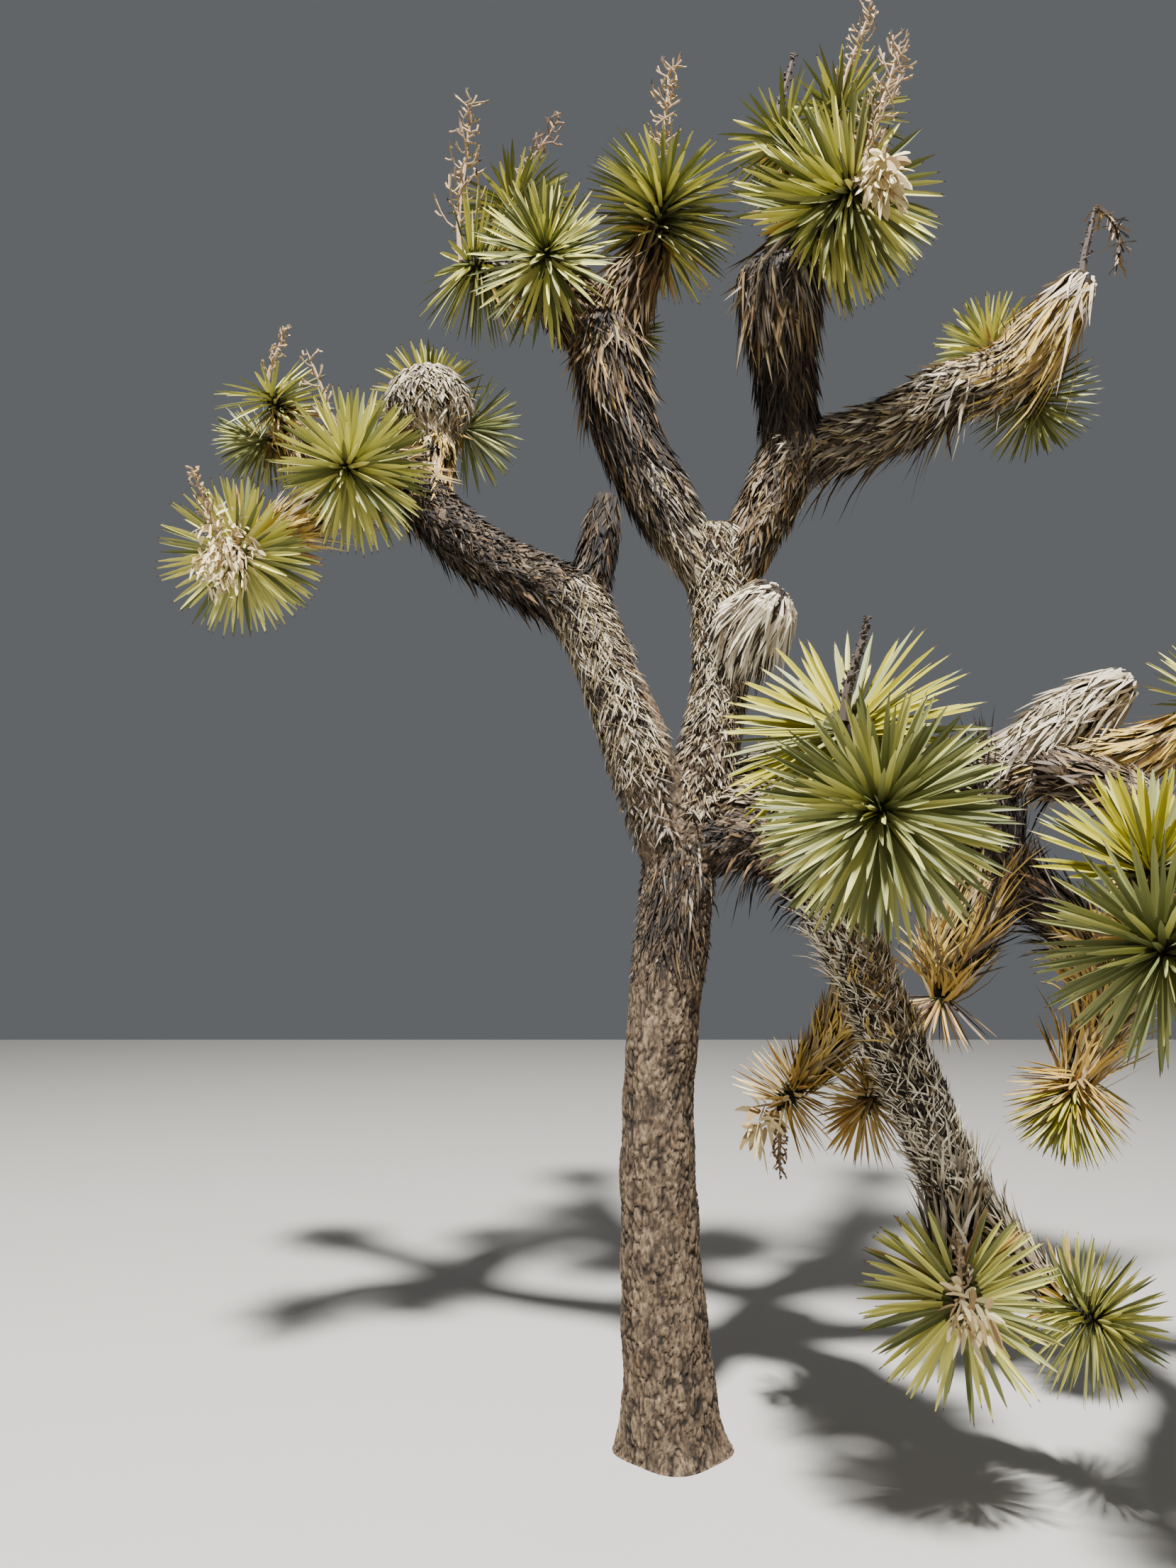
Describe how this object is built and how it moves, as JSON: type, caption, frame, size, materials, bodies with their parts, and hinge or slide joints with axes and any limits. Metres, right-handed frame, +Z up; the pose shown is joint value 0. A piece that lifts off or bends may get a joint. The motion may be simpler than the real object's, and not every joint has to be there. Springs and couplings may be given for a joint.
{
  "type": "joshua tree",
  "caption": "Branching desert tree: a bare leaning trunk forks into thick shaggy boughs that end in spiky balls of dagger leaves, some with dried flower stalks.",
  "frame": {"origin": "centre of the flat cut under the trunk, at ground level", "axes": "+Z up the trunk, +X to the right and +Y to the rear, as the picture's camera sees the tree"},
  "size_m": [3.5724, 2.5364, 4.738],
  "materials": {
    "bark": "fissured, weathered and rough",
    "dead_leaf_thatch": "dry grey straw, rough",
    "foliage": "waxy yellow-green leaf",
    "withered_foliage": "dry straw-yellow leaf"
  },
  "bodies": {
    "root": {"broom_limb": "dead_leaf_thatch", "centre_left_limb": "bark", "centre_limb": "bark", "centre_rear_limb": "bark", "centre_right_limb": "bark", "column": "bark", "dead_stub": "dead_leaf_thatch", "drooping_limb": "bark", "east_limb": "bark", "east_tip_limb": "bark", "front_limb": "bark", "left_arm": "bark", "left_back_limb": "bark", "left_bough": "bark", "left_riser": "dead_leaf_thatch", "left_stub": "bark", "low_bough": "bark", "mop_stub": "dead_leaf_thatch", "near_limb": "bark", "rear_limb": "bark", "right_arm": "bark", "right_back_limb": "bark", "right_limb": "bark", "right_rear_limb": "bark", "right_upper_limb": "bark", "rosette_arm_lower": "foliage", "rosette_arm_upper": "foliage", "rosette_centre_front": "foliage", "rosette_centre_left": "foliage", "rosette_centre_rear": "foliage", "rosette_centre_right": "foliage", "rosette_centre_small": "foliage", "rosette_centre_top": "foliage", "rosette_east_lower": "foliage", "rosette_east_tip": "foliage", "rosette_east_upper": "foliage", "rosette_hanging_right": "foliage", "rosette_left_behind": "foliage", "rosette_left_far": "foliage", "rosette_left_front": "foliage", "rosette_left_inner": "foliage", "rosette_left_low": "foliage", "rosette_left_top": "foliage", "rosette_low_front": "foliage", "rosette_low_right": "foliage", "rosette_near_back": "foliage", "rosette_near_front": "foliage", "rosette_rear_lower": "foliage", "rosette_rear_upper": "foliage", "rosette_right_back": "foliage", "rosette_right_front": "foliage", "rosette_right_rear": "foliage", "rosette_right_top": "foliage", "rosette_shaded_left": "foliage", "rosette_withered_inner": "withered_foliage", "rosette_withered_left": "withered_foliage", "shaded_left_limb": "bark", "shaded_limb": "bark", "shaded_right_limb": "bark", "trunk": "bark"}
  },
  "joints": []
}
